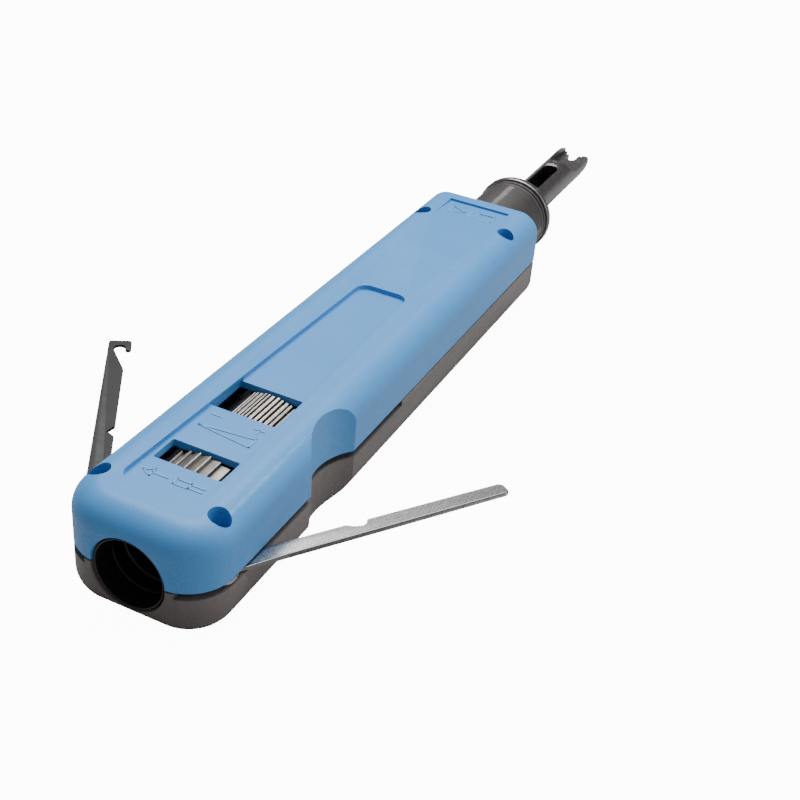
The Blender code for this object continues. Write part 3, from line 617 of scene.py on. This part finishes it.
def make_marks():
    """Plain symbols: force under the dial, the blade under the wheel, and three shapes at the nose."""
    shapes = stroke([(-5.6, 32.8), (-3.6, 32.8)])
    shapes += stroke([(3.2, 32.8), (5.2, 32.8)]) + stroke([(4.2, 33.8), (4.2, 31.8)])
    shapes += closed_stroke([(-5.6, 28.9), (5.2, 27.6), (5.2, 30.2)])
    shapes += closed_stroke([(-6.0, 13.4), (-4.2, 12.4), (-4.2, 14.4)])
    shapes += stroke([(-4.2, 13.4), (-1.2, 13.4)])
    shapes += closed_stroke([(0.2, 12.7), (3.0, 12.7), (3.0, 14.1), (0.2, 14.1)])
    shapes += stroke([(3.0, 12.9), (5.6, 12.9)]) + stroke([(3.0, 13.9), (5.6, 13.9)])
    settle("panel_marks", combined(*shapes), BLUE, "handle", [])
    level = dict(low=20.8, high=21.28)
    shapes = closed_stroke([(-5.0, 129.4), (-1.6, 131.2), (-5.0, 133.0)], **level)
    shapes += stroke([(-0.2, 129.2), (-0.2, 133.2)], **level)
    shapes += closed_stroke([(1.4, 129.6), (5.2, 129.6), (5.2, 132.8), (1.4, 132.8)], **level)
    settle("nose_marks", combined(*shapes), BLUE, "handle", [])


# Screws and blade store

def make_screws():
    """Four case screws, each with a rounded head and a cross recess."""
    names = ("rear_right", "rear_left", "front_right", "front_left")
    profile = [(3.6, 0.0), (4.2, 0.8), (14.2, 0.8), (14.2, 1.4), (15.4, 1.4), (15.8, 1.2), (16.05, 0.8),
               (16.1, 0.0)]
    for name, (x, y) in zip(names, SCREW_SPOTS):
        bars = [box(x - 0.85, x + 0.85, y - 0.16, y + 0.16, 15.3, 17.0),
                box(x - 0.16, x + 0.16, y - 0.85, y + 0.85, 15.3, 17.0)]
        screw = carved(upright(profile, (x, y)), *bars)
        settle(f"cross_head_screw_{name}", screw, COLLAR, "handle",
               [f"case_screw_{name}"])


def make_storage_tube():
    """Rear blade store: a dark lip, two rounded steps and a long bore with a bright ring in it."""
    profile = [(42.0, 0.0), (42.0, 5.2), (11.2, 5.2), (10.9, 5.3), (10.7, 5.7), (8.0, 5.75), (7.7, 5.85),
               (7.5, 6.2), (4.9, 6.25), (4.7, 6.4), (0.7, 6.4), (0.5, 6.44), (0.4, 6.55),
               (0.4, 6.7), (2.9, 6.7), (2.9, 8.0), (15.2, 8.0), (15.2, 6.3), (43.6, 6.3), (43.6, 0.0)]
    tube = lathe(profile, 96)
    settle("blade_store_tube", tube, BLACK, "handle", ["storage_tube"])
    ring = lathe([(11.3, 5.19), (11.3, 5.0), (11.55, 5.0), (11.55, 5.19)], 96, ring=True)
    settle("blade_store_ring", ring, TURNED_STEEL, "handle", [])


# Ribbed wheels

def clockwise(radius, angle):
    """A point round the axis, with the angle clockwise from the top."""
    turn = math.radians(90.0 - angle)
    return (radius * math.cos(turn), AXIS_Z + radius * math.sin(turn))


def make_release_wheel():
    """Saw-toothed thumb wheel with its arm and the pocket for its spring."""
    first, last, teeth = -38.0, 63.0, 9
    pitch = (last - first) / teeth
    outline = []
    for index in range(teeth):
        start = first + index * pitch
        for share, radius in ((0.0, 9.5), (0.3, 9.72), (0.6, 9.93), (0.88, 10.15), (0.94, 10.2),
                              (0.99, 10.12)):
            outline.append(clockwise(radius, start + share * pitch))
    outline += arc((0.0, AXIS_Z), 8.0, 90.0 - last, 90.0 - first - 360.0, 60)
    wheel = prism(outline, WHEEL_REAR, WHEEL_FRONT, "Y")
    wheel = joined(wheel, box(-10.9, -7.2, 17.6, 20.4, 8.2, 9.4))
    pocket = prism(arc((0.0, AXIS_Z), 7.25, 226.0, 266.0, 12) + [(0.0, AXIS_Z)], 17.8, 20.2, "Y")
    wheel = eased(carved(wheel, hub_hole(15.0, 24.0), pocket), 0.06, 1, 30.0)
    settle("release_thumb_wheel", wheel, RIBBED, "wheel", ["release_wheel"], 24.0)


def make_impact_dial():
    """Ring with uneven fine ribs, a smooth dark part, and ramps on its front face."""
    chance = random.Random(4)
    outline = []
    angle = -22.0
    while angle < 52.0:
        rib = 2.2 + 2.2 * chance.random() ** 2
        gap = 1.3 + 1.3 * chance.random()
        height = 10.2 - 0.25 * chance.random()
        for share, radius in ((0.0, 9.2), (0.06, height - 0.06), (0.12, height), (0.88, height),
                              (0.94, height - 0.06), (1.0, 9.2)):
            outline.append(clockwise(radius, angle + share * rib))
        angle += rib + gap
    outline += arc((0.0, AXIS_Z), 8.0, 31.0, -246.0, 70)
    dial = prism(outline, DIAL_REAR, DIAL_FRONT, "Y")
    ramps = combined(dial_ramp(70.0), dial_ramp(250.0))
    dial = carved(joined(dial, ramps), hub_hole(33.0, 50.0))
    settle("impact_dial_ribs", eased(dial, 0.05, 1, 40.0), RIBBED, "dial",
           ["impact_dial"], 30.0)
    start, end = 90.0 + 22.3, 90.0 + 46.0
    skin = arc((0.0, AXIS_Z), 9.85, start, end, 16) + arc((0.0, AXIS_Z), 8.03, end, start, 16)
    band = prism(skin, DIAL_REAR + 0.05, DIAL_FRONT - 0.05, "Y")
    settle("dial_smooth_band", eased(band, 0.08, 2, 40.0), DRUM, "dial", [])


def dial_ramp(start, sweep=70.0, rise=3.5, steps=24):
    """A helical wedge on the dial's front face, which climbs against the right-hand turn."""
    bm = bmesh.new()
    corners = [(6.9, 38.4), (7.8, 38.4), (7.8, 42.9), (6.9, 42.9)]
    verts = [bm.verts.new((radius, along, 0.0)) for radius, along in corners]
    edges = [bm.edges.new((verts[index - 1], verts[index])) for index in range(4)]
    bmesh.ops.rotate(bm, verts=bm.verts, cent=(0.0, 0.0, 0.0),
                     matrix=Matrix.Rotation(math.radians(start), 3, "Y"))
    bmesh.ops.spin(bm, geom=verts + edges, cent=(0.0, 0.0, 0.0), axis=(0.0, 1.0, 0.0),
                   dvec=(0.0, rise / steps, 0.0), angle=-math.radians(sweep), steps=steps)
    return placed(close_ends(bm), (0.0, 0.0, AXIS_Z), "Y")


# Nose

def make_collar():
    """Sliding barrel with its satin collar, fine turned grooves and end ring."""
    profile = [(143.0, 0.0), (143.0, 4.75), (146.0, 4.75), (146.0, 5.7), (149.0, 5.7),
               (149.0, 4.75), (158.6, 4.75), (158.6, 8.75), (158.5, 8.9), (158.0, 8.9),
               (157.9, 8.8), (157.85, 8.55), (157.5, 8.55), (157.45, 8.8), (157.3, 8.9),
               (156.2, 8.9), (156.12, 8.82), (156.0, 8.82), (155.92, 8.9), (139.0, 8.9), (138.5, 8.8),
               (138.2, 8.5), (138.2, 7.2), (111.3, 7.2), (111.3, 6.5), (110.1, 6.5), (110.1, 7.2),
               (106.4, 7.2), (106.0, 6.8), (106.0, 2.15), (114.2, 2.15), (114.2, 0.0)]
    keyway = box(-1.15, 1.15, 112.2, 125.0, 0.0, 4.9)
    detent = rod(13.0, 17.9, 1.0, (0.0, 152.5), 24)
    barrel = carved(lathe(profile, 128), keyway, detent)
    settle("nose_barrel_collar", barrel, COLLAR, "plunger", ["nose_barrel"])
    profile = [(158.95, 4.8), (158.95, 9.0), (159.05, 9.25), (159.25, 9.38), (159.5, 9.4), (160.3, 9.4),
               (160.6, 9.33), (160.85, 9.15), (161.0, 8.9), (161.2, 8.6), (161.2, 6.2), (161.05, 6.0),
               (160.9, 5.4), (160.8, 4.8)]
    ring = lathe(profile, 128, ring=True)
    settle("nose_end_ring", ring, GUNMETAL, "plunger", ["nose_ring"])


def make_blade():
    """Punch blade: window, open channel, raised left wing, and a forked, notched tip."""
    profile = [(143.6, 0.0), (143.6, 3.9), (144.1, 4.4), (161.0, 4.4), (163.0, 4.45), (198.0, 4.45),
               (201.0, 4.35), (202.6, 4.1), (203.3, 3.8), (203.5, 3.4), (203.5, 0.0)]
    lugs = prism(rounded([(-5.3, 9.0), (5.3, 9.0), (5.3, 11.0), (-5.3, 11.0)], 0.4, 3), 146.5, 148.5, "Y")
    blade = joined(lathe(profile, 96), lugs)
    window = sunk_form(rectangle(-1.6, 2.1, 168.0, 184.4), 1.8, 7.4, 14.2, 0.6, 0.3, 0.5)
    channel = [(185.6, 16.0), (186.2, 14.4)] + arc((193.0, 16.6), 5.7, 200.0, 268.0, 12)
    channel += [(205.0, 10.75), (205.0, 16.0)]
    wing_back = [(-1.2, 185.0), (6.0, 185.0), (6.0, 206.0), (-2.7, 206.0), (-3.0, 200.0), (-2.9, 195.0),
                 (-2.3, 190.0)]
    channel_form = carved(prism(channel, -6.0, 6.0, "X"), prism(wing_back, 5.0, 18.0),
                          operation="INTERSECT")
    wing = prism([(188.5, 16.0), (190.0, 14.3), (193.0, 13.6), (198.0, 13.1), (201.5, 12.3), (205.0, 11.3),
                  (205.0, 16.0)], -6.0, -1.0, "X")
    fork = prism([(1.25, 205.0), (-1.15, 205.0)] + arc((0.05, 199.6), 1.2, 180.0, 360.0, 16), 4.0, 16.0)
    underside = prism([(196.0, 4.0), (205.0, 4.0), (205.0, 8.0)], -6.0, 6.0, "X")
    notches = combined(box(-2.25, -1.0, 201.9, 205.0, 3.0, 16.0), box(1.0, 2.15, 202.5, 205.0, 3.0, 16.0))
    blade = carved(blade, window, channel_form, wing, fork, underside, notches)
    settle("forked_punch_blade", eased(blade, 0.09, 2, 38.0), GUNMETAL, "blade",
           ["punch_blade"])


# Folding tools

def eye_outline(inner, outer):
    """The round end of a flat tool, from its inner edge round to its outer edge."""
    start = math.degrees(math.acos(inner / TOOL_EYE))
    end = math.degrees(math.acos(outer / TOOL_EYE))
    return arc((0.0, 0.0), TOOL_EYE, start, -180.0 - end, 40)


def flat_tool(outline, side, angle, ground=0.0):
    """A flat tool drawn folded forward, eased, drilled and swung out about its post."""
    points = [(-side * inward, ahead) for inward, ahead in outline]
    bm = prism(points, TOOL_BOTTOM, TOOL_TOP)
    if ground:
        grind_outer_edge(bm, side, ground)
    faces = [face for face in bm.faces if abs(face.normal.z) > 0.9]
    rims = {edge for face in faces for edge in face.edges}
    round_edges(bm, list(rims), 0.1, 2)
    bm = carved(bm, rod(9.0, 13.0, TOOL_HOLE, (0.0, 0.0), 48))
    swing = Matrix.Rotation(math.radians(-side * angle), 4, "Z")
    shift = Matrix.Translation((side * REAR_SCREW[0], REAR_SCREW[1], 0.0))
    bmesh.ops.transform(bm, verts=bm.verts, matrix=shift @ swing)
    return bm


def grind_outer_edge(bm, side, width):
    """Lean the outer edge in at the top, as a ground bevel."""
    for vert in bm.verts:
        outward = vert.co.x * side
        if vert.co.z > TOOL_TOP - 0.01 and outward > 0.4 and vert.co.y > 4.0:
            vert.co.x -= side * width


def make_hook():
    """Hook tool with a round barb, a slanted throat and a V notch."""
    outline = eye_outline(-0.1, 2.9) + [(-3.9, 4.0)]
    outline += arc((-2.98, HOOK_LENGTH - 0.7), 0.7, 180.0, 90.0, 8)
    outline += arc((0.22, HOOK_LENGTH - 0.7), 0.7, 90.0, 0.0, 8)
    outline += arc((0.34, 55.5), 0.6, 0.0, -165.0, 12)
    outline += arc((-1.35, 55.8), 1.12, -10.0, 165.0, 16)
    outline += [(-2.45, 55.3)] + arc((-0.67, 47.9), 0.6, 20.0, 0.0, 4)
    outline += [(-0.12, 28.8)] + arc((-0.5, 28.6), 0.4, 0.0, -45.0, 4)
    outline += [(-1.1, 27.2), (-1.57, 26.55), (-0.8, 26.0)] + arc((-0.55, 25.0), 0.45, 55.0, 0.0, 4)
    settle("wire_hook", flat_tool(outline, -1.0, HOOK_ANGLE), DARK_STEEL, "hook",
           ["hook_tool"], 12.0)


def make_spudger():
    """Spudger with a ground outer edge, a round tip and a curved notch."""
    outline = eye_outline(2.6, 0.9)
    outline += [(-0.85, 12.0), (-0.8, 30.0)]
    outline += arc((0.25, SPUDGER_LENGTH - 0.85), 0.85, 180.0, 95.0, 8)
    outline += arc((1.3, SPUDGER_LENGTH - 1.15), 1.15, 88.0, 0.0, 10)
    outline += [(2.6, 28.7)] + arc((2.15, 28.3), 0.45, 0.0, -75.0, 6)
    outline += arc((2.75, 26.55), 1.35, 115.0, 200.0, 12) + [(1.85, 25.0), (2.6, 23.9)]
    tool = flat_tool(outline, 1.0, SPUDGER_ANGLE, 0.35)
    settle("ground_spudger", tool, BRIGHT_STEEL, "spudger", ["spudger_tool"], 12.0)


# Inner pieces keep their CAD shape and get their finish here

def finish_inner_nodes():
    """Give every carried-over CAD node its metal."""
    finishes = {
        SPRING_WIRE: ("main_spring", "return_spring", "latch_spring", "release_spring",
                      "detent_spring", "dial_detent"),
        TURNED_STEEL: ("hammer_latch", "latch_ramp", "striker_pin", "retaining_clip", "guide_pin",
                       "blade_detent", "storage_catch", "hook_washer", "spudger_washer",
                       "thrust_washer"),
        DARK_STEEL: ("hammer", "spring_seat"),
    }
    for mat, names in finishes.items():
        for name in names:
            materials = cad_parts[name].data.materials
            materials.clear()
            materials.append(mat)


# Stage

def make_floor():
    """A broad floor that the camera sees as plain white."""
    bm = bmesh.new()
    bmesh.ops.create_grid(bm, x_segments=1, y_segments=1, size=3.0)
    mesh = bpy.data.meshes.new("floor")
    bm.to_mesh(mesh)
    bm.free()
    mat, tree, shader = new_material("white_floor", 0.0, Roughness=0.6)
    shader.inputs["Base Color"].default_value = (0.45, 0.45, 0.45, 1.0)
    shader.inputs["Emission Color"].default_value = (1.0, 1.0, 1.0, 1.0)
    path = tree.nodes.new("ShaderNodeLightPath")
    glow = math_node(tree, "MULTIPLY", path.outputs["Is Camera Ray"], FLOOR_GLOW)
    tree.links.new(glow, shader.inputs["Emission Strength"])
    mesh.materials.append(mat)
    floor = bpy.data.objects.new("floor", mesh)
    floor.location.z = -0.0005
    bpy.context.scene.collection.objects.link(floor)


def add_light(name, spot, aim, size, power):
    """A square area light pointed at aim."""
    data = bpy.data.lights.new(name, "AREA")
    data.size = size
    data.energy = power
    light = bpy.data.objects.new(name, data)
    light.location = spot
    light.rotation_euler = (Vector(aim) - Vector(spot)).to_track_quat("-Z", "Y").to_euler()
    bpy.context.scene.collection.objects.link(light)


def make_lights():
    """Dim white surroundings, with soft lights from above, from the left and from the right."""
    world = bpy.data.worlds.new("studio")
    world.use_nodes = True
    background = world.node_tree.nodes["Background"]
    background.inputs["Color"].default_value = (1.0, 1.0, 1.0, 1.0)
    background.inputs["Strength"].default_value = 0.28
    bpy.context.scene.world = world
    add_light("key", (-0.25, 0.35, 0.75), (0.0, 0.0, 0.0), 0.4, 6.6)
    add_light("top", (0.1, 0.2, 0.7), (0.0, 0.0, 0.0), 0.5, 4.5)
    add_light("right_fill", (0.7, 0.25, 0.3), (0.0, 0.0, 0.0), 0.5, 1.6)


def make_camera():
    """The camera, looking down over the rear right corner."""
    right = Vector((0.8914, 0.4467, 0.0764))
    up = Vector((-0.3035, 0.4632, 0.8327))
    back = right.cross(up)
    data = bpy.data.cameras.new("camera")
    data.sensor_width = 36.0
    data.lens = 61.4
    data.clip_start = 0.01
    camera = bpy.data.objects.new("camera", data)
    turn = Matrix((right, up, back)).transposed().to_4x4()
    camera.matrix_world = Matrix.Translation((0.1027, -0.2027, 0.1549)) @ turn
    bpy.context.scene.collection.objects.link(camera)
    bpy.context.scene.camera = camera


make_camera()
make_upper_shell()
make_lower_shell()
make_marks()
make_screws()
make_storage_tube()
make_release_wheel()
make_impact_dial()
make_collar()
make_blade()
make_hook()
make_spudger()
finish_inner_nodes()
make_floor()
make_lights()

bpy.context.view_layer.update()
